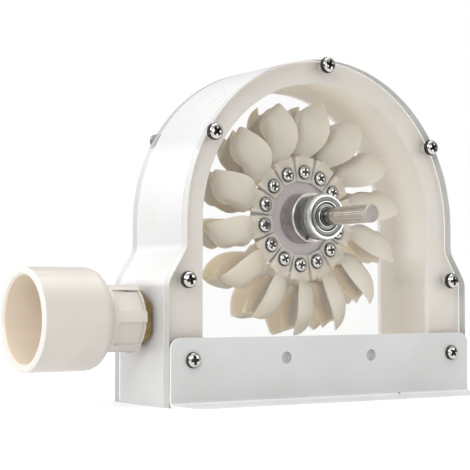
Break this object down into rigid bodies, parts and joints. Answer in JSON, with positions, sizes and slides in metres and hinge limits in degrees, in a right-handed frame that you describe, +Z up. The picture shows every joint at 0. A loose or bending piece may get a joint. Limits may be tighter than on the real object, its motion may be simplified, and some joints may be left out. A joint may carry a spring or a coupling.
{
  "type": "small pelton turbine",
  "caption": "Small Pelton turbine: a double-bucket wheel on a shaft, in a plastic casing with clear plates, a pipe inlet and a foot bracket.",
  "frame": {"origin": "underside of the bracket's foot, on the wheel's centre line", "axes": "+Z up, -Y to the front where the shaft end comes out, +X away from the pipe inlet"},
  "size_m": [0.276, 0.0987, 0.1905],
  "materials": {
    "casing_plastic": "white, satin",
    "clear_acrylic": "clear, polished",
    "bracket_paint": "pale grey, satin",
    "pipe_pvc": "cream, satin",
    "brass": "machined",
    "bearing_steel": "ground",
    "shaft_steel": "turned",
    "hub_metal": "turned, satin",
    "disc_plastic": "grey, matt",
    "bucket_plastic": "cream, moulded"
  },
  "bodies": {
    "housing": {"casing": "casing_plastic", "front_plate": "clear_acrylic", "rear_plate": "clear_acrylic", "front_bracket": "bracket_paint", "inlet_adapter": "pipe_pvc", "hex_nipple": "brass", "jet_nozzle": "brass", "front_bearing_outer": "bearing_steel", "rear_bearing_outer": "bearing_steel"},
    "rotor": {"shaft": "shaft_steel", "hub": "hub_metal", "runner_disc": "disc_plastic", "front_bearing_inner": "bearing_steel", "rear_bearing_inner": "bearing_steel", "bucket_01": "bucket_plastic", "bucket_02": "bucket_plastic", "bucket_03": "bucket_plastic", "bucket_04": "bucket_plastic", "bucket_05": "bucket_plastic", "bucket_06": "bucket_plastic", "bucket_07": "bucket_plastic", "bucket_08": "bucket_plastic", "bucket_09": "bucket_plastic", "bucket_10": "bucket_plastic", "bucket_11": "bucket_plastic", "bucket_12": "bucket_plastic", "bucket_13": "bucket_plastic", "bucket_14": "bucket_plastic"}
  },
  "joints": [
    {"name": "wheel_spin", "type": "hinge", "parent": "housing", "child": "rotor", "pos_m": [0, 0.046, 0.1024], "axis": [0, -1, 0], "continuous": true}
  ]
}
